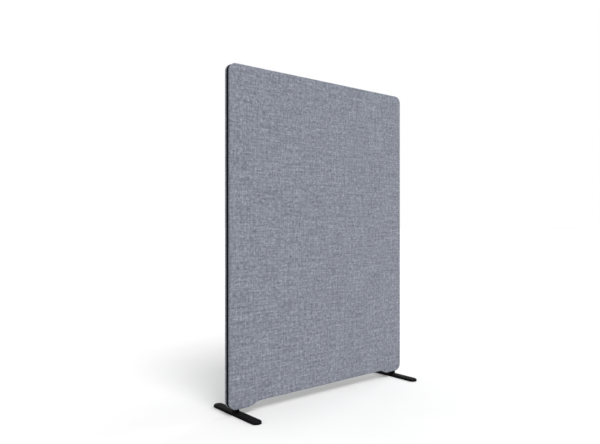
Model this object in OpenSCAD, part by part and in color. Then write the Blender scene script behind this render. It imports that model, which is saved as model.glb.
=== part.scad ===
/* [Panel] */
// Width of the finished panel, over the fabric
panel_w = 1200; // [1000:10:1800]
// Height of the finished panel, from the underside of its legs to the top edge
panel_h = 1613; // [1200:1:1800]
// Thickness of the finished panel, over both fabric faces
panel_t = 44; // [42:1:60]
// Radius of the two top corners
top_corner_r = 37; // [30:1:80]
// Radius of the two bottom corners
bottom_corner_r = 38; // [34:1:48]

/* [Raised bottom edge] */
// Width of the flat leg left at each bottom corner
leg_w = 110; // [86:1:140]
// How far the bottom edge between the legs is raised above them
edge_rise = 18.5; // [10:0.5:30]
// Length of the S-curve that joins a leg to the raised edge
curve_run = 64; // [40:1:90]

/* [Fabric halves] */
// Thickness of the fabric
fabric_t = 1; // [0.8:0.1:1.2]
// How far the fabric is turned in behind the carrier board
turn_in = 25; // [15:1:26]
// Thickness of the carrier board
carrier_t = 3; // [2:0.5:4]
// Radius of the soft outer edge of the absorber pad
pad_edge_r = 5; // [3:1:6]

/* [Core and black groove] */
// Thickness of the core frame, which is the width of the black edge
core_t = 18; // [14:0.5:18]
// How far the black edge lies below the edges of the two fabric halves
groove_d = 0.5; // [0.5:0.5:3]
// Thickness of the black edge strip round the core
strip_t = 2; // [1:0.5:3]
// Width of the stiles, the top rail and the middle rail
rail_w = 70; // [66:1:90]
// Height of the bottom rail above the raised edge
bottom_rail_h = 160; // [150:5:200]

/* [Feet] */
// Length of a foot bar, front to back
foot_l = 360; // [300:10:600]
// Width of a foot bar
foot_w = 50; // [46:1:60]
// Thickness of a foot bar
foot_t = 12; // [8:1:14]
// Width of the bevel round the top of a foot bar, seen from above
bevel_w = 4; // [2:0.5:6]
// Height of the same bevel, seen from the side
bevel_h = 3.5; // [2:0.5:5]
// Distance from the end of the panel to the centre line of a foot
foot_inset = 52.5; // [50:0.5:58]
// Distance from the end of the panel to the middle of its post and spacer
post_inset = 47; // [45:0.5:50]
// Height of the spacer between a foot bar and the panel
spacer_h = 17; // [10:1:30]
// Width of the spacer and its post, along the panel
spacer_w = 28; // [26:1:30]
// Depth of the spacer, front to back
spacer_d = 20; // [19:1:24]
// Height of the steel post that stands in the core above a spacer
post_h = 113; // [90:1:115]
// Thickness of the anti-slip pads
foot_pad_t = 1; // [1:0.5:3]

/* [Hidden] */
// Round shapes
$fn = 96;
// Overshoot of a cutting tool past the face it opens
eps = 1;

// Heights above the floor
bar_z = foot_pad_t;
spacer_z = bar_z + foot_t;
leg_z = spacer_z + spacer_h;
top_z = leg_z + panel_h;
raised_z = leg_z + edge_rise;

// Layers, as distances from the middle plane of the panel
face_y = panel_t / 2;
core_y = core_t / 2;
carrier_in_y = core_y + fabric_t;
carrier_out_y = carrier_in_y + carrier_t;
pad_out_y = face_y - fabric_t;

// Outline: the two equal arcs of each S-curve
s_r = (curve_run * curve_run + edge_rise * edge_rise) / (4 * edge_rise);
s_turn = asin(curve_run / (2 * s_r));
arc_steps = 16;
leg_end_x = panel_w / 2 - leg_w;
raised_end_x = leg_end_x - curve_run;

// Core frame
core_inset = groove_d + strip_t;
stile_in_x = panel_w / 2 - core_inset - rail_w;
top_rail_z = top_z - core_inset - rail_w;
bottom_rail_top = raised_z + core_inset + bottom_rail_h;
middle_z = (bottom_rail_top + top_rail_z) / 2;

// Feet and posts
foot_x = panel_w / 2 - foot_inset;
post_x = panel_w / 2 - post_inset;
post_top = leg_z + post_h;
bolt_r = 3;
bolt_hole_r = 3.2;
bolt_head_r = 6;
bolt_head_h = 3;
bolt_grip = 13;
bolt_gap = 14;
socket_r = 2;
socket_d = 2;
pin_r = 3;
pin_l = 50;
pin_z = [leg_z + 48, leg_z + 90];
foot_pad_w = 36;
foot_pad_l = 84;
foot_pad_end = 8;

// Dowels between the rails and the stiles
dowel_r = 4;
dowel_l = 50;
dowel_z = [
    bottom_rail_top - 50, bottom_rail_top - 22,
    middle_z - 17, middle_z + 17,
    top_rail_z + 18, top_rail_z + 52
];

// Push-in clips that hold a half on the core
clip_flange_r = 8;
clip_stem_r = 4;
clip_stem_l = 4.5;
clip_rivet_r = 2.5;
clip_x = panel_w / 2 - 55;
clip_rail_x = [-0.29 * panel_w, 0, 0.29 * panel_w];
clip_z = [for (part = [0.17, 0.36, 0.7, 0.89]) leg_z + part * panel_h];
clip_rail_z = [raised_z + 84, middle_z, top_z - 42];
clips = concat(
    [for (side = [-1, 1], z = clip_z) [side * clip_x, z]],
    [for (x = clip_rail_x, z = clip_rail_z) [x, z]]
);

// Staples that hold the turned-in fabric on the carrier board
staple_crown = 10;
staple_wire_w = 1.2;
staple_wire_t = 0.7;
staple_leg = 2.4;
staple_inset = 14;
staple_rows = 13;
staple_columns = 9;
staple_low = leg_z + 1.2 * bottom_corner_r;
staple_high = top_z - 1.2 * top_corner_r;
staple_end_x = panel_w / 2 - 1.4 * top_corner_r;
staple_raised_x = raised_end_x - 12;
// Each staple is [x, z, turn], with its crown along the edge it lies by
staples = concat(
    [for (side = [-1, 1], k = [0:staple_rows - 1])
        [side * (panel_w / 2 - staple_inset),
         staple_low + k * (staple_high - staple_low) / (staple_rows - 1), 90]],
    [for (k = [0:staple_columns - 1])
        [-staple_end_x + k * 2 * staple_end_x / (staple_columns - 1), top_z - staple_inset, 0]],
    [for (k = [0:staple_columns - 1])
        [-staple_raised_x + k * 2 * staple_raised_x / (staple_columns - 1),
         raised_z + staple_inset, 0]],
    [for (side = [-1, 1]) [side * foot_x, leg_z + staple_inset, 0]]
);

// A rectangle from its low corner to its high corner
module rect(low, high) {
    translate(low) square(high - low);
}

// Stands a flat shape up: its x stays x, its y becomes height, and it fills y0 to y1
module upright(y0, y1) {
    translate([0, y1, 0]) rotate([90, 0, 0]) linear_extrude(y1 - y0) children();
}

// Repeats a left-hand or front piece on the other side
module both_sides() {
    children();
    mirror([1, 0, 0]) children();
}

// The panel before its bottom edge is raised, drawn in by inset all round
module slab_shape(inset) {
    half = panel_w / 2;
    low_x = half - bottom_corner_r;
    high_x = half - top_corner_r;
    low_z = leg_z + bottom_corner_r;
    high_z = top_z - top_corner_r;
    rect([inset - half, low_z], [half - inset, high_z]);
    rect([-low_x, leg_z + inset], [low_x, high_z]);
    rect([-high_x, low_z], [high_x, top_z - inset]);
    for (side = [-1, 1]) {
        translate([side * low_x, low_z]) circle(bottom_corner_r - inset);
        translate([side * high_x, high_z]) circle(top_corner_r - inset);
    }
}

// Points of an arc about a centre, from one angle to another
function arc(centre, r, from, to) = [
    for (k = [0:arc_steps]) let (turn = from + (to - from) * k / arc_steps)
        centre + r * [cos(turn), sin(turn)]
];

// Half of the space under the raised edge: a straight run, then the two arcs of the S-curve
module raised_half(inset) {
    below = -eps;
    polygon(concat(
        [[leg_end_x, below], [-eps, below], [-eps, raised_z + inset]],
        arc([raised_end_x, raised_z - s_r], s_r + inset, 90, 90 - s_turn),
        arc([leg_end_x, leg_z + s_r], s_r - inset, 270 - s_turn, 270)
    ));
}

// The outline of the panel, drawn in by inset all round
module panel_shape(inset = 0) {
    difference() {
        slab_shape(inset);
        both_sides() raised_half(inset);
    }
}

// A part of the core: the outline inside the edge strip, cut to one region
module core_piece(low, high) {
    upright(-core_y, core_y) intersection() {
        panel_shape(core_inset);
        rect(low, high);
    }
}

// A round pin or bore along x, from x0 to x1
module along_x(r, x0, x1, z) {
    translate([x0, 0, z]) rotate([0, 90, 0]) cylinder(h = x1 - x0, r = r);
}

// A round pin or bore along y, from y0 to y1
module along_y(r, x, y0, y1, z) {
    translate([x, y1, z]) rotate([90, 0, 0]) cylinder(h = y1 - y0, r = r);
}

// Holes of the dowels, on both sides of the panel
module dowel_holes() {
    both_sides() for (z = dowel_z) {
        along_x(dowel_r, stile_in_x - dowel_l / 2, stile_in_x + dowel_l / 2, z);
    }
}

// Blind holes of the clips, in both faces of the core
module clip_holes() {
    for (spot = clips) {
        along_y(clip_stem_r, spot[0], -core_y - eps, clip_stem_l - core_y, spot[1]);
        along_y(clip_stem_r, spot[0], core_y - clip_stem_l, core_y + eps, spot[1]);
    }
}

// Staples on the front half; grow opens the slots they sit in past the surface
module staple_set(grow = 0) {
    for (spot = staples) translate([spot[0], -core_y, spot[1]]) rotate([0, spot[2], 0]) {
        translate([-staple_crown / 2, -staple_wire_t, -staple_wire_w / 2])
            cube([staple_crown, staple_wire_t + grow, staple_wire_w]);
        for (x = [-staple_crown / 2, staple_crown / 2 - staple_wire_t])
            translate([x, -staple_wire_t - staple_leg, -staple_wire_w / 2])
                cube([staple_wire_t, staple_leg + staple_wire_t, staple_wire_w]);
    }
}

// Fabric wrapped over the front half and turned in behind its board
module front_cover() {
    color("LightSlateGray") difference() {
        upright(-face_y, -core_y) panel_shape();
        upright(-pad_out_y, -carrier_in_y) panel_shape(fabric_t);
        upright(-carrier_in_y - eps, -core_y + eps) panel_shape(fabric_t + turn_in);
        staple_set(eps);
    }
}

// Pressed felt pad under the fabric, with a soft outer edge
module front_absorber() {
    color("Gainsboro") {
        upright(pad_edge_r - pad_out_y, -carrier_out_y) panel_shape(fabric_t);
        for (step = [1:pad_edge_r])
            upright(pad_edge_r - pad_out_y - step, pad_edge_r - pad_out_y - step + 1)
                panel_shape(fabric_t + pad_edge_r - sqrt(pad_edge_r * pad_edge_r - step * step));
    }
}

// Thin fibreboard that carries the pad and takes the staples and clips
module front_carrier_board() {
    color("Peru") difference() {
        upright(-carrier_out_y, -carrier_in_y) panel_shape(fabric_t);
        staple_set();
        for (spot = clips)
            along_y(clip_rivet_r, spot[0], -carrier_out_y - eps, -carrier_in_y + eps, spot[1]);
    }
}

// Steel staples through the turned-in fabric
module front_staples() {
    color("Silver") staple_set();
}

// Plastic push-in clips: a rivet in the board, a flange, and a stem in the core
module front_clips() {
    color("WhiteSmoke") for (spot = clips) {
        along_y(clip_rivet_r, spot[0], -carrier_out_y, -carrier_in_y, spot[1]);
        along_y(clip_flange_r, spot[0], -carrier_in_y, -core_y, spot[1]);
        along_y(clip_stem_r, spot[0], -core_y, clip_stem_l - core_y, spot[1]);
    }
}

// The back half is the front half turned to face the other way
module back_cover() {
    mirror([0, 1, 0]) front_cover();
}

module back_absorber() {
    mirror([0, 1, 0]) front_absorber();
}

module back_carrier_board() {
    mirror([0, 1, 0]) front_carrier_board();
}

module back_staples() {
    mirror([0, 1, 0]) front_staples();
}

module back_clips() {
    mirror([0, 1, 0]) front_clips();
}

// Upright of the core frame, notched at its foot for the steel post
module right_stile() {
    color("BurlyWood") difference() {
        core_piece([stile_in_x, 0], [panel_w / 2, top_z]);
        translate([post_x - spacer_w / 2, -core_y - eps, 0])
            cube([spacer_w, core_t + 2 * eps, post_top]);
        for (z = pin_z) along_x(pin_r, post_x - pin_l / 2, panel_w / 2, z);
        dowel_holes();
        clip_holes();
    }
}

module left_stile() {
    mirror([1, 0, 0]) right_stile();
}

module top_rail() {
    color("BurlyWood") difference() {
        core_piece([-stile_in_x, top_rail_z], [stile_in_x, top_z]);
        dowel_holes();
        clip_holes();
    }
}

module middle_rail() {
    color("BurlyWood") difference() {
        core_piece([-stile_in_x, middle_z - rail_w / 2], [stile_in_x, middle_z + rail_w / 2]);
        dowel_holes();
        clip_holes();
    }
}

// Deep bottom rail, cut to the raised edge and its S-curves
module bottom_rail() {
    color("BurlyWood") difference() {
        core_piece([-stile_in_x, 0], [stile_in_x, bottom_rail_top]);
        dowel_holes();
        clip_holes();
    }
}

// Beech dowels, two in each joint of the core frame
module frame_dowels() {
    color("Tan") dowel_holes();
}

// Sound-absorbing slabs between the rails
module upper_infill() {
    color("Beige") core_piece([-stile_in_x, middle_z + rail_w / 2], [stile_in_x, top_rail_z]);
}

module lower_infill() {
    color("Beige") core_piece([-stile_in_x, bottom_rail_top], [stile_in_x, middle_z - rail_w / 2]);
}

// Black strip round the edge of the core, at the bottom of the groove
module edge_band() {
    color("Black") upright(-core_y, core_y) difference() {
        panel_shape(groove_d);
        panel_shape(core_inset);
    }
}

// The long strip: from one post round the corners and over the top to the other post
module edge_strip_over() {
    gap_x = post_x + spacer_w / 2;
    difference() {
        edge_band();
        translate([-gap_x, -core_y - eps, 0]) cube([2 * gap_x, core_t + 2 * eps, post_top]);
    }
}

// The short strip: along the raised edge, from post to post
module edge_strip_under() {
    gap_x = post_x - spacer_w / 2;
    intersection() {
        edge_band();
        translate([-gap_x, -core_y - eps, 0]) cube([2 * gap_x, core_t + 2 * eps, post_top]);
    }
}

// Tapped steel flat that stands on the spacer, in the notch of the stile; its outer foot corner
// is rounded with the panel
module right_post() {
    color("DimGray") difference() {
        upright(-core_y, core_y) intersection() {
            panel_shape();
            rect([post_x - spacer_w / 2, leg_z], [post_x + spacer_w / 2, post_top]);
        }
        for (x = bolt_gap * [-0.5, 0.5])
            translate([post_x + x, 0, leg_z - eps]) cylinder(h = bolt_grip + eps, r = bolt_r);
        for (z = pin_z) along_x(pin_r, post_x - spacer_w, post_x + spacer_w, z);
    }
}

module left_post() {
    mirror([1, 0, 0]) right_post();
}

// Steel pins driven through stile and post from the outer edge
module post_pins() {
    color("Silver") both_sides()
        for (z = pin_z) along_x(pin_r, post_x - pin_l / 2, post_x + pin_l / 2, z);
}

// Black block that lifts the panel off the foot bar
module right_spacer() {
    color("Black") difference() {
        translate([post_x - spacer_w / 2, -spacer_d / 2, spacer_z])
            cube([spacer_w, spacer_d, spacer_h]);
        for (x = bolt_gap * [-0.5, 0.5])
            translate([post_x + x, 0, spacer_z - eps])
                cylinder(h = spacer_h + 2 * eps, r = bolt_hole_r);
    }
}

module left_spacer() {
    mirror([1, 0, 0]) right_spacer();
}

// Half of the section of a foot bar, with its bevelled top edge
module bar_half_section() {
    half = foot_w / 2;
    polygon([[0, 0], [half, 0], [half, foot_t - bevel_h], [half - bevel_w, foot_t], [0, foot_t]]);
}

// Flat steel bar with round ends, drilled and countersunk from below
module right_foot_bar() {
    straight = foot_l - foot_w;
    color("Black") difference() {
        translate([foot_x, 0, bar_z]) union() {
            upright(-straight / 2, straight / 2) both_sides() bar_half_section();
            for (end = [-1, 1]) translate([0, end * straight / 2, 0])
                rotate_extrude() bar_half_section();
        }
        for (x = bolt_gap * [-0.5, 0.5]) translate([post_x + x, 0, bar_z]) {
            translate([0, 0, -eps]) cylinder(h = foot_t + 2 * eps, r = bolt_hole_r);
            cylinder(h = bolt_head_h, r1 = bolt_head_r, r2 = bolt_hole_r);
        }
    }
}

module left_foot_bar() {
    mirror([1, 0, 0]) right_foot_bar();
}

// Countersunk socket screws, two up through each foot into its post
module foot_bolts() {
    shank = foot_t + spacer_h + bolt_grip;
    color("DarkSlateGray") both_sides() for (x = bolt_gap * [-0.5, 0.5])
        translate([post_x + x, 0, bar_z]) difference() {
            union() {
                cylinder(h = bolt_head_h, r1 = bolt_head_r, r2 = bolt_r);
                cylinder(h = shank, r = bolt_r);
            }
            translate([0, 0, -eps]) cylinder(h = socket_d + eps, r = socket_r, $fn = 6);
        }
}

// Anti-slip pads under the two ends of each foot
module foot_pads() {
    straight = foot_pad_l - foot_pad_w;
    far_y = foot_l / 2 - foot_pad_end - foot_pad_w / 2;
    color("DarkGray") both_sides() for (end = [-1, 1])
        translate([foot_x, end * far_y, 0]) linear_extrude(foot_pad_t) {
            circle(foot_pad_w / 2);
            translate([0, -end * straight]) circle(foot_pad_w / 2);
            translate([-foot_pad_w / 2, -straight / 2 - end * straight / 2])
                square([foot_pad_w, straight]);
        }
}

front_cover();
front_absorber();
front_carrier_board();
front_staples();
front_clips();
back_cover();
back_absorber();
back_carrier_board();
back_staples();
back_clips();
left_stile();
right_stile();
top_rail();
middle_rail();
bottom_rail();
frame_dowels();
upper_infill();
lower_infill();
edge_strip_over();
edge_strip_under();
left_post();
right_post();
post_pins();
left_spacer();
right_spacer();
left_foot_bar();
right_foot_bar();
foot_bolts();
foot_pads();
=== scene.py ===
import math
import bmesh
import bpy
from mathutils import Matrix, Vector, geometry, noise


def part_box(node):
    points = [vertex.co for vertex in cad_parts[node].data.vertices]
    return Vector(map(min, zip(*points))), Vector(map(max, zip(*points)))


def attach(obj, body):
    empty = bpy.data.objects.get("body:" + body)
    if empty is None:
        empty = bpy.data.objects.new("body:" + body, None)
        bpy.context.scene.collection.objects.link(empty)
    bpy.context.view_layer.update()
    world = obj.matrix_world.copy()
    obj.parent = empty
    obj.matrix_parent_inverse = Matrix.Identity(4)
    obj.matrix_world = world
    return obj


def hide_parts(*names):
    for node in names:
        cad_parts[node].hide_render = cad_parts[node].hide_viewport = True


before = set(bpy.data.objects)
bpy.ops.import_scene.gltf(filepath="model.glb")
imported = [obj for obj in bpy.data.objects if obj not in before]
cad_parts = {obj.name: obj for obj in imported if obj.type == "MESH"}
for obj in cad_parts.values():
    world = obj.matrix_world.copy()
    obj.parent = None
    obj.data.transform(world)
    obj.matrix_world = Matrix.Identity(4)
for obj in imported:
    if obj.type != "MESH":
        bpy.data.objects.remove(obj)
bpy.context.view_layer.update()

# Core frame. Five pieces of 18 mm birch plywood lie flat between the two fabric halves: two stiles,
# a top and a middle rail, and a deep bottom rail that is sawn to the raised edge and its S-curves.
# The rails are dowelled and glued to the stiles, and every arris is lightly sanded.


class Link:
    """An output socket. Sums and products of links add the Math nodes that they need."""

    def __init__(self, net, socket):
        self.net = net
        self.socket = socket

    def math(self, operation, first, second=0.0):
        return self.net.add("ShaderNodeMath", {"operation": operation}, {0: first, 1: second})

    def __add__(self, other):
        return self.math("ADD", self, other)

    def __sub__(self, other):
        return self.math("SUBTRACT", self, other)

    def __mul__(self, other):
        return self.math("MULTIPLY", self, other)

    def __truediv__(self, other):
        return self.math("DIVIDE", self, other)

    def __mod__(self, other):
        return self.math("FLOORED_MODULO", self, other)

    def __abs__(self):
        return self.math("ABSOLUTE", self)

    def __rsub__(self, other):
        return self.math("SUBTRACT", other, self)

    __radd__ = __add__
    __rmul__ = __mul__

    def floor(self):
        return self.math("FLOOR", self)

    def sine(self):
        return self.math("SINE", self)


class Net:
    """A node tree while it is built, for a finish or for a repeated piece."""

    def __init__(self, tree):
        self.tree = tree

    def add(self, kind, settings=None, sockets=None, output=0):
        """Adds one node from its type, its settings and the values or links of its sockets."""
        node = self.tree.nodes.new(kind)
        for name, value in (settings or {}).items():
            if name == "stops":
                ramp = node.color_ramp.elements
                while len(ramp) < len(value):
                    ramp.new(0.5)
                for stop, (place, colour) in zip(ramp, value):
                    stop.position = place
                    stop.color = colour
            else:
                setattr(node, name, value)
        for name, value in (sockets or {}).items():
            if isinstance(value, Link):
                self.tree.links.new(value.socket, node.inputs[name])
            else:
                node.inputs[name].default_value = value
        return Link(self, node.outputs[output]) if node.outputs else None

    def point(self, x, y, z=0.0):
        return self.add("ShaderNodeCombineXYZ", sockets={"X": x, "Y": y, "Z": z})


class Finish(Net):
    """A material whose nodes end in one Principled shader."""

    def __init__(self, name):
        self.material = bpy.data.materials.new(name)
        self.material.use_nodes = True
        super().__init__(self.material.node_tree)
        self.tree.nodes.clear()

    def place(self, scale=(1, 1, 1), uv=None):
        """Where a point of the piece is, in metres, times a scale for each axis."""
        if uv:
            at = self.add("ShaderNodeUVMap", {"uv_map": uv})
        else:
            at = self.add("ShaderNodeTexCoord", output="Object")
        return self.add("ShaderNodeMapping", sockets={"Vector": at, "Scale": scale})

    def axis(self, at, name):
        return self.add("ShaderNodeSeparateXYZ", sockets={"Vector": at}, output=name)

    def grain(self, at, scale, detail=3.0, rough=0.55, warp=0.0):
        """Cloudy noise from 0 to 1, at a scale in cycles a unit."""
        return self.add("ShaderNodeTexNoise", sockets={
            "Vector": at, "Scale": scale, "Detail": detail, "Roughness": rough, "Distortion": warp})

    def ramp(self, factor, low, high, colours):
        """A colour that runs evenly through a list of colours as factor goes from low to high."""
        places = [low + (high - low) * k / (len(colours) - 1) for k in range(len(colours))]
        stops = [(place, (*colour, 1)) for place, colour in zip(places, colours)]
        return self.add("ShaderNodeValToRGB", {"stops": stops}, {"Fac": factor})

    def bump(self, height, distance):
        """A bumped normal from a height of 0 to 1 and the depth, in metres, that 1 stands for."""
        sockets = {"Height": height, "Distance": distance, "Strength": 1.0}
        return self.add("ShaderNodeBump", sockets=sockets)

    def shade(self, **sockets):
        """Ends the tree in a Principled shader; spaces in socket names are written as _."""
        named = {name.replace("_", " "): value for name, value in sockets.items()}
        shader = self.add("ShaderNodeBsdfPrincipled", sockets=named)
        self.add("ShaderNodeOutputMaterial", sockets={"Surface": shader})
        return self.material


def plywood(name, scale):
    """Sanded birch: long pale grain, drawn out along the axis whose scale is small."""
    net = Finish(name)
    at = net.place(scale)
    figure = net.grain(at, 14.0, detail=6.0, warp=0.6)
    pores = net.grain(at, 160.0, detail=2.0)
    colour = net.ramp(figure * 0.8 + pores * 0.2, 0.36, 0.64,
                      [(0.50, 0.33, 0.18), (0.62, 0.45, 0.27), (0.70, 0.55, 0.37)])
    return net.shade(Base_Color=colour, Roughness=0.5 + pores * 0.25,
                     Normal=net.bump(pores, 0.0002))


def softened(name, node, width, finish, segments=2):
    """A merged copy of a CAD node with its sharp edges eased, in place of the node."""
    shape = bmesh.new()
    shape.from_mesh(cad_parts[node].data)
    bmesh.ops.remove_doubles(shape, verts=shape.verts, dist=1e-5)
    bmesh.ops.dissolve_limit(shape, angle_limit=math.radians(0.5), verts=shape.verts,
                             edges=shape.edges)
    mesh = bpy.data.meshes.new(name)
    shape.to_mesh(mesh)
    shape.free()
    mesh.shade_smooth()
    piece = bpy.data.objects.new(name, mesh)
    bpy.context.scene.collection.objects.link(piece)
    mesh.materials.append(finish)
    ease = piece.modifiers.new("eased_edges", "BEVEL")
    ease.width = width
    ease.segments = segments
    ease.limit_method = "ANGLE"
    ease.angle_limit = math.radians(28)
    ease.harden_normals = True
    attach(piece, "root")
    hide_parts(node)
    return piece


upright_ply = plywood("birch_ply_upright", (1.0, 1.0, 0.05))
level_ply = plywood("birch_ply_level", (0.05, 1.0, 1.0))
for node in ("left_stile", "right_stile"):
    softened(node + "_sanded", node, 0.0004, upright_ply)
for node in ("top_rail", "middle_rail", "bottom_rail"):
    softened(node + "_sanded", node, 0.0004, level_ply)

# Floor and light, so that the pieces can be looked at as they are made: a plain pale floor, a white
# surround, one broad soft lamp far off at the front left, and a weaker one low at the right.


def floor_finish():
    net = Finish("plain_floor")
    cloud = net.grain(net.place(), 3.0)
    colour = net.ramp(cloud, 0.3, 0.7, [(0.485, 0.485, 0.485), (0.495, 0.495, 0.495)])
    return net.shade(Base_Color=colour, Roughness=0.8, Specular_IOR_Level=0.1)


floor_mesh = bpy.data.meshes.new("floor")
reach = 60.0
corners = [(-reach, -reach, 0), (reach, -reach, 0), (reach, reach, 0), (-reach, reach, 0)]
floor_mesh.from_pydata(corners, [], [(0, 1, 2, 3)])
floor_mesh.materials.append(floor_finish())
floor = bpy.data.objects.new("floor", floor_mesh)
bpy.context.scene.collection.objects.link(floor)

surround = bpy.data.worlds.new("surround")
surround.use_nodes = True
surround.node_tree.nodes["Background"].inputs["Color"].default_value = (1, 1, 1, 1)
surround.node_tree.nodes["Background"].inputs["Strength"].default_value = 1.0
bpy.context.scene.world = surround
bpy.context.scene.view_settings.view_transform = "Standard"

for name, azimuth, height, spread, strength in (("front_lamp", 252, 52, 30, 3.30),
                                                ("side_lamp", 0, 30, 40, 2.06)):
    lamp = bpy.data.lights.new(name, "SUN")
    lamp.angle = math.radians(spread)
    lamp.energy = strength
    lamp_object = bpy.data.objects.new(name, lamp)
    bpy.context.scene.collection.objects.link(lamp_object)
    lamp_object.rotation_euler = (0, math.radians(90 - height), math.radians(azimuth))

# Camera: level, a little above half the height of the screen, looking at it from its front left.
camera_data = bpy.data.cameras.new("camera")
camera_data.sensor_width = 36.0
camera_data.lens = 35.09
camera_data.clip_end = 200.0
camera = bpy.data.objects.new("camera", camera_data)
bpy.context.scene.collection.objects.link(camera)
camera.location = (-2.0915, -2.2858, 0.904)
camera.rotation_euler = (math.radians(90), 0, -math.radians(40.217))
bpy.context.scene.camera = camera

# Dowels. Twelve fluted beech dowels, 8 mm thick and 50 mm long, two in each joint of the frame.
# They are driven in with glue, so half of each lies in a stile and half in a rail.


def solids(node):
    """The middle and the size of each separate solid in a CAD node, in a settled order."""
    shape = bmesh.new()
    shape.from_mesh(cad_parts[node].data)
    bmesh.ops.remove_doubles(shape, verts=shape.verts, dist=1e-6)
    seen = set()
    found = []
    for start in shape.verts:
        if start in seen:
            continue
        seen.add(start)
        group = [start]
        for vert in group:
            for edge in vert.link_edges:
                other = edge.other_vert(vert)
                if other not in seen:
                    seen.add(other)
                    group.append(other)
        low = Vector([min(v.co[k] for v in group) for k in range(3)])
        high = Vector([max(v.co[k] for v in group) for k in range(3)])
        found.append(((low + high) / 2, high - low))
    shape.free()
    return sorted(found, key=lambda spot: tuple(round(c, 4) for c in spot[0]))


class Recipe(Net):
    """A Geometry Nodes tree that sets copies of one small piece at given spots."""

    def __init__(self, name, finish, **sizes):
        super().__init__(bpy.data.node_groups.new(name, "GeometryNodeTree"))
        interface = self.tree.interface
        interface.new_socket("Spots", in_out="INPUT", socket_type="NodeSocketGeometry")
        interface.new_socket("Pieces", in_out="OUTPUT", socket_type="NodeSocketGeometry")
        for size in sizes:
            interface.new_socket(size, in_out="INPUT", socket_type="NodeSocketFloat")
        self.entry = self.tree.nodes.new("NodeGroupInput")
        self.name = name
        self.finish = finish
        self.sizes = sizes

    def size(self, name):
        return Link(self, self.entry.outputs[name])

    def join(self, *parts):
        joined = self.tree.nodes.new("GeometryNodeJoinGeometry")
        for part in parts:
            self.tree.links.new(part.socket, joined.inputs[0])
        return Link(self, joined.outputs[0])

    def move(self, part, offset=(0, 0, 0), turn=(0, 0, 0)):
        sockets = {"Geometry": part, "Translation": offset, "Rotation": turn}
        return self.add("GeometryNodeTransform", sockets=sockets)

    def up(self, height):
        return self.add("ShaderNodeCombineXYZ", sockets={"Z": height})

    def barrel(self, low_r, high_r, length, start, vertices=24):
        """A cone or cylinder along Z from a starting height."""
        cone = self.add("GeometryNodeMeshCone", sockets={
            "Vertices": vertices, "Radius Top": high_r, "Radius Bottom": low_r, "Depth": length})
        return self.move(cone, self.up(start))

    def set_out(self, part, spots, body, node, slot):
        """Copies part to every spot, (place, turn), and bakes the result to one plain mesh."""
        turn = self.add("GeometryNodeInputNamedAttribute", {"data_type": "FLOAT_VECTOR"},
                        {"Name": "turn"})
        copies = self.add("GeometryNodeInstanceOnPoints", sockets={
            "Points": Link(self, self.entry.outputs["Spots"]), "Instance": part, "Rotation": turn})
        real = self.add("GeometryNodeRealizeInstances", sockets={"Geometry": copies})
        flat = self.add("GeometryNodeSetShadeSmooth", sockets={
            "Geometry": real, "Shade Smooth": False})
        done = self.add("GeometryNodeSetMaterial", sockets={
            "Geometry": flat, "Material": self.finish})
        self.add("NodeGroupOutput", sockets={"Pieces": done})
        marks = bpy.data.meshes.new(self.name + "_spots")
        marks.from_pydata([tuple(place) for place, turn in spots], [], [])
        turns = marks.attributes.new("turn", "FLOAT_VECTOR", "POINT")
        turns.data.foreach_set("vector", [angle for place, turn in spots for angle in turn])
        holder = bpy.data.objects.new(self.name + "_spots", marks)
        bpy.context.scene.collection.objects.link(holder)
        maker = holder.modifiers.new(self.name, "NODES")
        maker.node_group = self.tree
        for item in self.tree.interface.items_tree:
            if item.in_out == "INPUT" and item.name in self.sizes:
                maker[item.identifier] = self.sizes[item.name]
        made = holder.evaluated_get(bpy.context.evaluated_depsgraph_get())
        mesh = bpy.data.meshes.new_from_object(made)
        mesh.name = self.name
        piece = bpy.data.objects.new(self.name, mesh)
        bpy.context.scene.collection.objects.link(piece)
        bpy.data.objects.remove(holder)
        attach(piece, body)
        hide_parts(node)
        return piece


def beech():
    net = Finish("beech")
    at = net.place((0.1, 1.0, 1.0))
    rays = net.grain(at, 900.0, detail=2.0)
    colour = net.ramp(rays, 0.35, 0.65, [(0.52, 0.31, 0.18), (0.66, 0.44, 0.28)])
    return net.shade(Base_Color=colour, Roughness=0.6 + rays * 0.2, Normal=net.bump(rays, 0.0001))


dowel_size = solids("frame_dowels")[0][1]
dowels = Recipe("fluted_dowels", beech(),
                Radius=dowel_size.z / 2, Length=dowel_size.x, Flute=0.00018)
flutes = 18
rod = dowels.add("GeometryNodeMeshCylinder", sockets={
    "Vertices": flutes * 4, "Side Segments": 1,
    "Radius": dowels.size("Radius"), "Depth": dowels.size("Length")})
here = dowels.add("GeometryNodeInputPosition")
around = dowels.add("ShaderNodeMath", {"operation": "ARCTAN2"}, {
    0: dowels.add("ShaderNodeSeparateXYZ", sockets={"Vector": here}, output="Y"),
    1: dowels.add("ShaderNodeSeparateXYZ", sockets={"Vector": here}, output="X")})
depth = (around * flutes).sine() * dowels.size("Flute") - dowels.size("Flute")
inward = dowels.add("ShaderNodeVectorMath", {"operation": "MULTIPLY"}, {0: here, 1: (1, 1, 0)})
unit = dowels.add("ShaderNodeVectorMath", {"operation": "NORMALIZE"}, {0: inward})
shift = dowels.add("ShaderNodeVectorMath", {"operation": "SCALE"}, {0: unit, "Scale": depth})
fluted = dowels.add("GeometryNodeSetPosition", sockets={"Geometry": rod, "Offset": shift})
dowels.set_out(fluted, [(middle, (0, math.pi / 2, 0)) for middle, size in solids("frame_dowels")],
               "root", "frame_dowels", "beech")

# Wadding. Two slabs of loose polyester wadding fill the frame between the rails and take up sound.
# They are cut to size and pressed in, and nothing else holds them.


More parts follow.
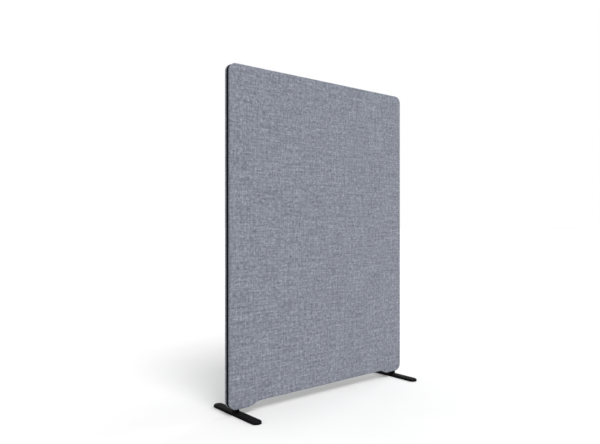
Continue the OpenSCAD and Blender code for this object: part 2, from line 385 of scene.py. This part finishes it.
def wadding():
    net = Finish("polyester_wadding")
    tufts = net.grain(net.place(), 55.0, detail=5.0, warp=1.2)
    hairs = net.grain(net.place((1.0, 1.0, 0.25)), 900.0, warp=2.0)
    colour = net.ramp(tufts * 0.6 + hairs * 0.4, 0.35, 0.65,
                      [(0.60, 0.58, 0.53), (0.74, 0.72, 0.67), (0.83, 0.82, 0.79)])
    return net.shade(Base_Color=colour, Roughness=0.95, Sheen_Weight=0.3,
                     Normal=net.bump(tufts + hairs * 0.3, 0.0015))


wadding_finish = wadding()
for node in ("upper_infill", "lower_infill"):
    slab = softened(node + "_slab", node, 0.002, wadding_finish, 3)

# Posts and pins. A tapped flat of bright drawn steel stands in a notch at the foot of each stile.
# Two round pins, driven in from the outer edge of the stile, hold it there.


def drawn_steel(name, scale):
    """Bright steel with fine lines along the axis whose scale is small."""
    net = Finish(name)
    lines = net.grain(net.place(scale), 2500.0, detail=2.0)
    haze = net.grain(net.place(), 60.0)
    colour = net.ramp(haze, 0.35, 0.65, [(0.50, 0.50, 0.51), (0.62, 0.62, 0.63)])
    return net.shade(Base_Color=colour, Metallic=1.0, Roughness=0.22 + haze * 0.2 + lines * 0.1,
                     Normal=net.bump(lines, 0.00003))


post_steel = drawn_steel("drawn_steel_post", (1.0, 1.0, 0.02))
for node in ("left_post", "right_post"):
    softened(node + "_drawn", node, 0.0005, post_steel)

pin_size = solids("post_pins")[0][1]
pins = Recipe("driven_pins", drawn_steel("drawn_steel_pin", (0.02, 1.0, 1.0)),
              Radius=pin_size.z / 2, Length=pin_size.x, Chamfer=0.0006)
radius = pins.size("Radius")
chamfer = pins.size("Chamfer")
end = pins.size("Length") * 0.5
pins.set_out(pins.join(pins.barrel(radius - chamfer, radius, chamfer, end * -1, 32),
                       pins.barrel(radius, radius, end * 2 - chamfer * 2, chamfer - end, 32),
                       pins.barrel(radius, radius - chamfer, chamfer, end - chamfer, 32)),
             [(middle, (0, math.pi / 2, 0)) for middle, size in solids("post_pins")],
             "root", "post_pins", "bright_steel")

# Edge strips. A 2 mm extruded strip of matt black plastic is glued round the edge of the core, one
# length over the top and one under the raised edge. It is the black line between the two halves.


def extruded_black():
    net = Finish("matt_black_strip")
    bloom = net.grain(net.place(), 35.0)
    lines = net.grain(net.place((1.0, 14.0, 1.0)), 120.0, detail=2.0)
    colour = net.ramp(bloom, 0.35, 0.65, [(0.002, 0.0021, 0.003), (0.004, 0.0042, 0.006)])
    return net.shade(Base_Color=colour, Roughness=0.65 + bloom * 0.2, Specular_IOR_Level=0.04,
                     Normal=net.bump(lines, 0.00005))


strip_finish = extruded_black()
for node in ("edge_strip_over", "edge_strip_under"):
    softened(node + "_extruded", node, 0.0004, strip_finish, 3)

# Fibreboards. A 3 mm hard fibreboard carries each half of the screen. It is sawn to the outline of
# the panel, and holes are punched in it for the rivets of the clips.


def hard_fibreboard():
    net = Finish("hard_fibreboard")
    chips = net.grain(net.place(), 700.0, detail=4.0)
    cloud = net.grain(net.place(), 22.0)
    colour = net.ramp(chips * 0.7 + cloud * 0.3, 0.35, 0.65,
                      [(0.16, 0.09, 0.045), (0.26, 0.16, 0.085), (0.36, 0.24, 0.14)])
    return net.shade(Base_Color=colour, Roughness=0.45 + chips * 0.3,
                     Normal=net.bump(chips, 0.0001))


board_finish = hard_fibreboard()
for side in ("front", "back"):
    softened(side + "_fibreboard", side + "_carrier_board", 0.0003, board_finish)

# Felt boards. An 8 mm board of pressed polyester felt is glued to each fibreboard. Its outer edge
# is pressed round, so that the fabric turns over it without a crease.
top_corner = 0.037
bottom_corner = 0.038
leg_width = 0.110
edge_rise = 0.0185
curve_run = 0.064
corner_steps, curve_steps = 14, 8
side_steps, top_steps, raised_steps, leg_steps = 100, 74, 62, 4
s_radius = (curve_run ** 2 + edge_rise ** 2) / (4 * edge_rise)
cover_low, cover_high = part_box("front_cover")
half_width = cover_high.x
leg_z = cover_low.z
top_z = cover_high.z


def arc(centre, radius, start, end, count):
    """Points along an arc, its far end left out."""
    points = []
    for k in range(count):
        turn = math.radians(start + (end - start) * k / count)
        points.append((centre[0] + radius * math.cos(turn), centre[1] + radius * math.sin(turn)))
    return points


def run(first, last, count):
    """Points evenly along a straight stretch, its far end left out."""
    return [(first[0] + (last[0] - first[0]) * k / count,
             first[1] + (last[1] - first[1]) * k / count) for k in range(count)]


def panel_outline(inset):
    """The outline of the panel drawn in by inset, clockwise from the left, as (x, z)."""
    side = half_width - inset
    low_x, low_z = half_width - bottom_corner, leg_z + bottom_corner
    high_x, high_z = half_width - top_corner, top_z - top_corner
    leg_x = half_width - leg_width
    raised_x = leg_x - curve_run
    raised_z = leg_z + edge_rise
    swing = math.degrees(math.asin(curve_run / (2 * s_radius)))
    leg_r, raised_r = s_radius - inset, s_radius + inset
    leg_middle, raised_middle = leg_z + s_radius, raised_z - s_radius
    right_curve = (arc((leg_x, leg_middle), leg_r, -90, -90 - swing, curve_steps)
                   + arc((raised_x, raised_middle), raised_r, 90 - swing, 90, curve_steps))
    left_curve = (arc((-raised_x, raised_middle), raised_r, 90, 90 + swing, curve_steps)
                  + arc((-leg_x, leg_middle), leg_r, swing - 90, -90, curve_steps))
    return (run((-side, low_z), (-side, high_z), side_steps)
            + arc((-high_x, high_z), top_corner - inset, 180, 90, corner_steps)
            + run((-high_x, top_z - inset), (high_x, top_z - inset), top_steps)
            + arc((high_x, high_z), top_corner - inset, 90, 0, corner_steps)
            + run((side, high_z), (side, low_z), side_steps)
            + arc((low_x, low_z), bottom_corner - inset, 0, -90, corner_steps)
            + run((low_x, leg_z + inset), (leg_x, leg_z + inset), leg_steps)
            + right_curve
            + run((raised_x, raised_z + inset), (-raised_x, raised_z + inset), raised_steps)
            + left_curve
            + run((-leg_x, leg_z + inset), (-low_x, leg_z + inset), leg_steps)
            + arc((-low_x, low_z), bottom_corner - inset, -90, -180, corner_steps))


def inside_outline(spot, loop):
    """Whether a level line from the spot crosses the loop an odd number of times."""
    x, z = spot
    inside = False
    for (x1, z1), (x2, z2) in zip(loop, loop[1:] + loop[:1]):
        if (z1 > z) != (z2 > z) and x < (x2 - x1) * (z - z1) / (z2 - z1) + x1:
            inside = not inside
    return inside


# Points inside the face, kept clear of its rim, so that its triangles stay small and even
grid = 0.015
rim_gap = 0.013
columns, rows = round(half_width / grid), round(top_z / grid)
guard = panel_outline(rim_gap)
face_grid = [(x * grid, z * grid) for x in range(1 - columns, columns) for z in range(2, rows)]
face_grid = [spot for spot in face_grid if inside_outline(spot, guard)]


def dressed_panel(name, side, rings, closed=False, ripple=0.0):
    """A panel-shaped skin: a filled face, then rings down its edge, each (inset, y, spent).

    spent is the length of cloth used up past the outline, and goes into the map named cut.
    """
    rim = panel_outline(rings[0][0])
    count = len(rim)
    edges = [(k, (k + 1) % count) for k in range(count)]
    flat = [Vector(spot) for spot in rim + face_grid]
    points, _, faces, _, _, _ = geometry.delaunay_2d_cdt(flat, edges, [], 1, 1e-7)
    shape = bmesh.new()
    cut = shape.loops.layers.uv.new("cut")
    spread = {}

    def vertex(x, y, z, u, v):
        # A slow ripple of about six waves a metre, not the same on the two sides
        wave = ripple * noise.noise(Vector((x * 6, z * 6, 5 * side)))
        made = shape.verts.new((x, side * (y + wave), z))
        spread[made] = (side * -u, v)
        return made

    face = [vertex(x, rings[0][1], z, x, z) for x, z in points]
    for corners in faces:
        shape.faces.new([face[k] for k in corners])
    last = face[:count]
    for inset, y, spent in rings[1:]:
        ring = [vertex(x, y, z, u, v)
                for (x, z), (u, v) in zip(panel_outline(inset), panel_outline(-spent))]
        for k, n in edges:
            shape.faces.new((last[k], last[n], ring[n], ring[k]))
        last = ring
    if closed:
        back = last + [vertex(x, rings[-1][1], z, x, z) for x, z in points[count:]]
        for corners in faces:
            shape.faces.new([back[k] for k in reversed(corners)])
    bmesh.ops.recalc_face_normals(shape, faces=shape.faces)
    middle = next(part for part in shape.faces if face[-1] in part.verts)
    if middle.normal.y * side < 0:
        bmesh.ops.reverse_faces(shape, faces=shape.faces)
    for part in shape.faces:
        for corner in part.loops:
            corner[cut].uv = spread[corner.vert]
    mesh = bpy.data.meshes.new(name)
    shape.to_mesh(mesh)
    shape.free()
    mesh.shade_smooth()
    piece = bpy.data.objects.new(name, mesh)
    bpy.context.scene.collection.objects.link(piece)
    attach(piece, "root")
    return piece


def round_edge(inset, y, radius, steps, spent=0.0):
    """Rings of a quarter round from a face at y to the side, which stands in by inset."""
    rings = []
    for k in range(steps + 1):
        turn = math.pi / 2 * k / steps
        rings.append((inset + radius * (1 - math.sin(turn)), y - radius * (1 - math.cos(turn)),
                      spent + radius * (turn - 1)))
    return rings


def pressed_felt():
    net = Finish("pressed_felt")
    fibres = net.grain(net.place(), 1400.0, warp=3.0)
    clumps = net.grain(net.place(), 160.0, detail=4.0, warp=1.0)
    colour = net.ramp(fibres * 0.5 + clumps * 0.5, 0.36, 0.64,
                      [(0.42, 0.42, 0.43), (0.56, 0.56, 0.57), (0.70, 0.70, 0.69)])
    return net.shade(Base_Color=colour, Roughness=0.95, Sheen_Weight=0.2,
                     Normal=net.bump(fibres * 0.5 + clumps, 0.0005))


felt_finish = pressed_felt()
felt_low, felt_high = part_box("back_absorber")
felt_round = 0.0035
for name, side in (("front", -1), ("back", 1)):
    rings = round_edge(half_width - felt_high.x, felt_high.y, felt_round, 8)
    rings.append((half_width - felt_high.x, felt_low.y, 0.0))
    felt = dressed_panel(name + "_felt_board", side, rings, closed=True)
    felt.data.materials.append(felt_finish)
    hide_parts(name + "_absorber")

# Staples. Flat galvanised wire staples, 46 to a half, hold the turned-in edge of the fabric on the
# back of the fibreboard. Each crown lies along the edge that it holds.


def galvanised():
    net = Finish("galvanised_wire")
    haze = net.grain(net.place(), 400.0)
    colour = net.ramp(haze, 0.35, 0.65, [(0.56, 0.57, 0.59), (0.70, 0.71, 0.72)])
    return net.shade(Base_Color=colour, Metallic=1.0, Roughness=0.28 + haze * 0.2,
                     Normal=net.bump(haze, 0.00003))


wire_finish = galvanised()
for name, side in (("front", -1), ("back", 1)):
    staples = Recipe(name + "_wire_staples", wire_finish,
                     Crown=0.010, Leg=0.0031, Wire=0.0012, Thickness=0.0007)
    crown, leg = staples.size("Crown"), staples.size("Leg")
    wire, thick = staples.size("Wire"), staples.size("Thickness")
    parts = [staples.move(staples.add("GeometryNodeMeshCube", sockets={
        "Size": staples.point(crown - thick * 2, wire, thick)}), staples.up((leg - thick) * 0.5))]
    for hand in (-1, 1):
        arm = (crown - thick) * 0.5 * hand
        elbow = staples.add("GeometryNodeMeshCylinder", sockets={
            "Vertices": 16, "Radius": thick, "Depth": wire})
        bend = staples.point(arm - thick * 0.5 * hand, 0.0, leg * 0.5 - thick)
        parts.append(staples.move(elbow, bend, (math.pi / 2, 0, 0)))
        shank = staples.add("GeometryNodeMeshCube", sockets={
            "Size": staples.point(thick, wire, leg - thick * 2)})
        parts.append(staples.move(shank, staples.point(arm, 0.0, 0.0)))
        tip = staples.add("GeometryNodeMeshCone", sockets={
            "Vertices": 4, "Radius Top": 0.0, "Radius Bottom": thick * 0.7, "Depth": thick})
        parts.append(staples.move(tip, staples.point(arm, 0.0, thick - leg * 0.5),
                                  (math.pi, 0, math.pi / 4)))
    spots = [(middle, (side * math.pi / -2, 0 if size.x > size.z else math.pi / 2, 0))
             for middle, size in solids(name + "_staples")]
    staples.set_out(staples.join(*parts), spots, "root", name + "_staples", "bright_steel")

# Covers. One piece of blue-grey melange screen cloth, woven from doubled polyester yarn, is pulled
# over each felt board, turned in behind the fibreboard at the groove and stapled. No seam shows.


def screen_cloth():
    net = Finish("blue_grey_melange")
    at = net.place(uv="cut")
    across, along = net.axis(at, "X"), net.axis(at, "Y")
    pitch = 0.00115
    warp_no, weft_no = (across / pitch).floor(), (along / pitch).floor()
    # Each yarn reads its own line of the noise, and the two sets read it at different heights
    changes = 85.0
    warp_shade = net.grain(net.point(warp_no * 7.31, along * changes), 1.0, detail=2.0)
    weft_shade = net.grain(net.point(across * changes, weft_no * 5.77, 40.0), 1.0, detail=2.0)
    over = (warp_no + weft_no) % 2.0
    yarn = warp_shade * over + weft_shade * (1 - over)
    weft_slubs = net.grain(net.place((0.45, 1.0, 1.0), uv="cut"), 118.0)
    warp_slubs = net.grain(net.place((1.0, 0.40, 1.0), uv="cut"), 118.0)
    weft_streaks = net.grain(net.place((0.06, 1.0, 1.0), uv="cut"), 110.0, detail=2.0)
    warp_streaks = net.grain(net.place((1.0, 0.05, 1.0), uv="cut"), 110.0, detail=2.0)
    shade = (yarn * 0.27 + weft_slubs * 0.26 + warp_slubs * 0.21
             + weft_streaks * 0.15 + warp_streaks * 0.11)
    colour = net.ramp(shade, 0.31, 0.69, [(0.035, 0.038, 0.046), (0.078, 0.084, 0.101),
                                          (0.145, 0.155, 0.184), (0.234, 0.250, 0.296),
                                          (0.349, 0.371, 0.431)])
    warp_hump = abs((across * (math.pi / pitch)).sine())
    weft_hump = abs((along * (math.pi / pitch)).sine())
    hump = warp_hump * over + weft_hump * (1 - over)
    fuzz = net.grain(at, 2600.0)
    return net.shade(Base_Color=colour, Roughness=0.82 + fuzz * 0.14, Specular_IOR_Level=0.12,
                     Sheen_Weight=0.05, Sheen_Roughness=0.5,
                     Normal=net.bump(hump * 0.8 + fuzz * 0.3 + yarn * 0.6, 0.00022))


cloth_finish = screen_cloth()
turn_middle, turn_back = 0.010, 0.026
cloth_round = 0.0045
lip = 0.0012
lip_steps = 4
cloth_thickness = 0.001
wall_gap = 0.0001
cloth_low, cloth_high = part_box("back_cover")
seat = cloth_low.y + wall_gap
for name, side in (("front", -1), ("back", 1)):
    rings = round_edge(0.0, cloth_high.y, cloth_round, 10)
    flank, spent = rings[-1][1], rings[-1][2]
    rings.append((0.0, (flank + seat) / 2, spent + (flank - seat) / 2))
    spent += flank - seat - lip
    for k in range(lip_steps + 1):
        turn = math.pi / 2 * k / lip_steps
        rings.append((lip * (1 - math.cos(turn)), seat + lip * (1 - math.sin(turn)),
                      spent + lip * turn))
    spent = rings[-1][2]
    for inset in (turn_middle, turn_back):
        rings.append((inset, seat, spent + inset - lip))
    cover = dressed_panel(name + "_screen_cloth", side, rings, ripple=0.00015)
    cover.data.materials.append(cloth_finish)
    weight = cover.modifiers.new("cloth_thickness", "SOLIDIFY")
    weight.thickness = cloth_thickness
    weight.offset = -1.0
    weight.use_even_offset = True
    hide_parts(name + "_cover")
    2 * half_width + 2 * rings[-1][2]
    top_z - leg_z + 2 * rings[-1][2]

# Clips. Seventeen push-in clips of moulded nylon hold each half. The rivet holds the clip in the
# fibreboard, and the barbed stem is pushed into a blind hole in the core.


def moulded_nylon():
    net = Finish("moulded_nylon")
    cloud = net.grain(net.place(), 250.0)
    colour = net.ramp(cloud, 0.35, 0.65, [(0.62, 0.61, 0.57), (0.72, 0.71, 0.67)])
    return net.shade(Base_Color=colour, Roughness=0.35 + cloud * 0.15, Subsurface_Weight=0.1,
                     Normal=net.bump(cloud, 0.00003))


nylon = moulded_nylon()
for name, side in (("front", -1), ("back", 1)):
    clips = Recipe(name + "_push_clips", nylon, Rivet=0.0025, Flange=0.008, Stem=0.0039)
    rivet, flange, stem = clips.size("Rivet"), clips.size("Flange"), clips.size("Stem")
    parts = []
    # From the end of the rivet to the tip of the stem, one on another: both radii, length, sides
    start = -0.00425
    for low_r, high_r, length, vertices in (
            (rivet * 0.92, rivet, 0.0004, 24), (rivet, rivet, 0.0026, 24),
            (flange, flange, 0.0006, 32), (flange, flange * 0.94, 0.0004, 32),
            (stem * 0.7, stem * 0.7, 0.0040, 24), (stem * 0.7, stem * 0.45, 0.0005, 24)):
        parts.append(clips.barrel(low_r, high_r, length, start, vertices))
        start += length
    barb = 0.0011
    for barb_start in (0.0001, 0.0013, 0.0025):
        parts.append(clips.barrel(stem, stem * 0.72, barb, barb_start))
    clips.set_out(clips.join(*parts), [(middle, (side * math.pi / 2, 0, 0))
                                       for middle, size in solids(name + "_clips")],
                  "root", name + "_clips", "clip_plastic")

# Spacers. A block of black coated steel, 17 mm high, stands between each foot and the panel. The
# two screws of the foot go up through it.


def black_coat(name, rough):
    """Fine-textured black powder coat, a little paler in patches."""
    net = Finish(name)
    pebble = net.grain(net.place(), 1300.0, detail=2.0)
    rub = net.grain(net.place(), 28.0, detail=4.0)
    colour = net.ramp(pebble * 0.45 + rub * 0.55, 0.35, 0.65,
                      [(0.0018, 0.0018, 0.002), (0.003, 0.003, 0.0034), (0.006, 0.006, 0.0064)])
    return net.shade(Base_Color=colour, Roughness=rough + rub * 0.16, Specular_IOR_Level=0.035,
                     Normal=net.bump(pebble, 0.00012))


block_coat = black_coat("black_coat_block", 0.60)
for node in ("left_spacer", "right_spacer"):
    softened(node + "_coated", node, 0.0006, block_coat, 3)

# Foot bars. Flat steel bars, 360 mm long, with round ends and a bevelled top edge. They are drilled
# and countersunk from below and powder coated black.
bar_coat = black_coat("black_coat_bar", 0.58)
for node in ("left_foot_bar", "right_foot_bar"):
    softened(node + "_coated", node, 0.0007, bar_coat, 3)

# Screws. Four blackened countersunk socket screws go up from below, through the foot bar and the
# spacer, into the tapped post.


def blackened_steel():
    net = Finish("blackened_steel")
    oil = net.grain(net.place(), 300.0)
    colour = net.ramp(oil, 0.35, 0.65, [(0.018, 0.018, 0.020), (0.040, 0.040, 0.043)])
    return net.shade(Base_Color=colour, Metallic=0.8, Roughness=0.3 + oil * 0.2,
                     Normal=net.bump(oil, 0.00003))


screw_size = solids("foot_bolts")[0][1]
screws = Recipe("socket_screws", blackened_steel(), Head=screw_size.x / 2, Shank=0.003,
                Length=screw_size.z, Land=0.003, Socket=0.0021, Pitch=0.001)
head, shank, length = screws.size("Head"), screws.size("Shank"), screws.size("Length")
under = length * -0.5
socket, socket_depth, overlap = screws.size("Socket"), 0.002, 0.0005
neck_start, neck_end = 0.0022, 0.010
run_out = 0.0005
drive = screws.barrel(socket, socket, socket_depth + overlap, under - overlap, 6)
cone = screws.add("GeometryNodeMeshBoolean", {"operation": "DIFFERENCE"}, {
    "Mesh 1": screws.barrel(head, shank, screws.size("Land"), under, 48), "Mesh 2": drive})
neck = screws.barrel(shank * 0.98, shank * 0.98, neck_end - neck_start, under + neck_start)
core = screws.barrel(shank * 0.86, shank * 0.80, length - neck_end, under + neck_end)
threaded = length - (neck_end + 2 * run_out)
coil = screws.add("GeometryNodeCurveSpiral", sockets={
    "Resolution": 20, "Rotations": threaded / screws.size("Pitch"),
    "Start Radius": shank * 0.88, "End Radius": shank * 0.88, "Height": threaded})
ridge = screws.add("GeometryNodeCurvePrimitiveCircle", sockets={
    "Resolution": 3, "Radius": shank * 0.115})
thread = screws.add("GeometryNodeCurveToMesh", sockets={
    "Curve": coil, "Profile Curve": ridge, "Fill Caps": True})
thread = screws.move(thread, screws.up(under + (neck_end + run_out)))
screws.set_out(screws.join(cone, neck, core, thread),
               [(middle, (0, 0, 0)) for middle, size in solids("foot_bolts")],
               "root", "foot_bolts", "black_bolt")

# Foot pads. Two ribbed pads of grey rubber under each foot bar stop it sliding and marking the
# floor. They are moulded with round ends and stuck on.


def moulded_rubber():
    net = Finish("grey_rubber")
    dust = net.grain(net.place(), 120.0, detail=4.0)
    colour = net.ramp(dust, 0.35, 0.65, [(0.045, 0.045, 0.047), (0.075, 0.075, 0.077)])
    return net.shade(Base_Color=colour, Roughness=0.75 + dust * 0.2, Normal=net.bump(dust, 0.0001))


pad_size = solids("foot_pads")[0][1]
pads = Recipe("ribbed_pads", moulded_rubber(), Width=pad_size.x, Length=pad_size.y,
              Thickness=pad_size.z, Groove=0.0012)
width, thick, groove = pads.size("Width"), pads.size("Thickness"), pads.size("Groove")
plan = pads.add("GeometryNodeCurvePrimitiveQuadrilateral", sockets={
    "Width": width, "Height": pads.size("Length")})
plan = pads.add("GeometryNodeFilletCurve", {"mode": "POLY"}, {
    "Curve": plan, "Count": 16, "Radius": width * 0.499, "Limit Radius": True})
sole = pads.add("GeometryNodeFillCurve", {"mode": "NGONS"}, {"Curve": plan})
lid = pads.add("GeometryNodeExtrudeMesh", {"mode": "FACES"}, {
    "Mesh": sole, "Offset": (0, 0, 1), "Offset Scale": thick, "Individual": False})
slab = pads.add("GeometryNodeMergeByDistance", sockets={
    "Geometry": pads.join(lid, pads.add("GeometryNodeFlipFaces", sockets={"Mesh": sole})),
    "Distance": 1e-6})
slot = pads.add("GeometryNodeMeshCube", sockets={
    "Size": pads.point(width * 1.2, groove, thick * 0.8)})
grooves, groove_pitch = 17, 0.0045
row = pads.add("GeometryNodeMeshLine", {"mode": "OFFSET"}, {
    "Count": grooves, "Start Location": (0, (grooves - 1) * groove_pitch / -2, 0),
    "Offset": (0, groove_pitch, 0)})
slots = pads.add("GeometryNodeInstanceOnPoints", sockets={"Points": row, "Instance": slot})
slots = pads.add("GeometryNodeRealizeInstances", sockets={"Geometry": slots})
ribbed = pads.add("GeometryNodeMeshBoolean", {"operation": "DIFFERENCE"}, {
    "Mesh 1": slab, "Mesh 2": slots})
pads.set_out(pads.move(ribbed, pads.up(thick * -0.5)),
             [(middle, (0, 0, 0)) for middle, size in solids("foot_pads")],
             "root", "foot_pads", "pad_rubber")
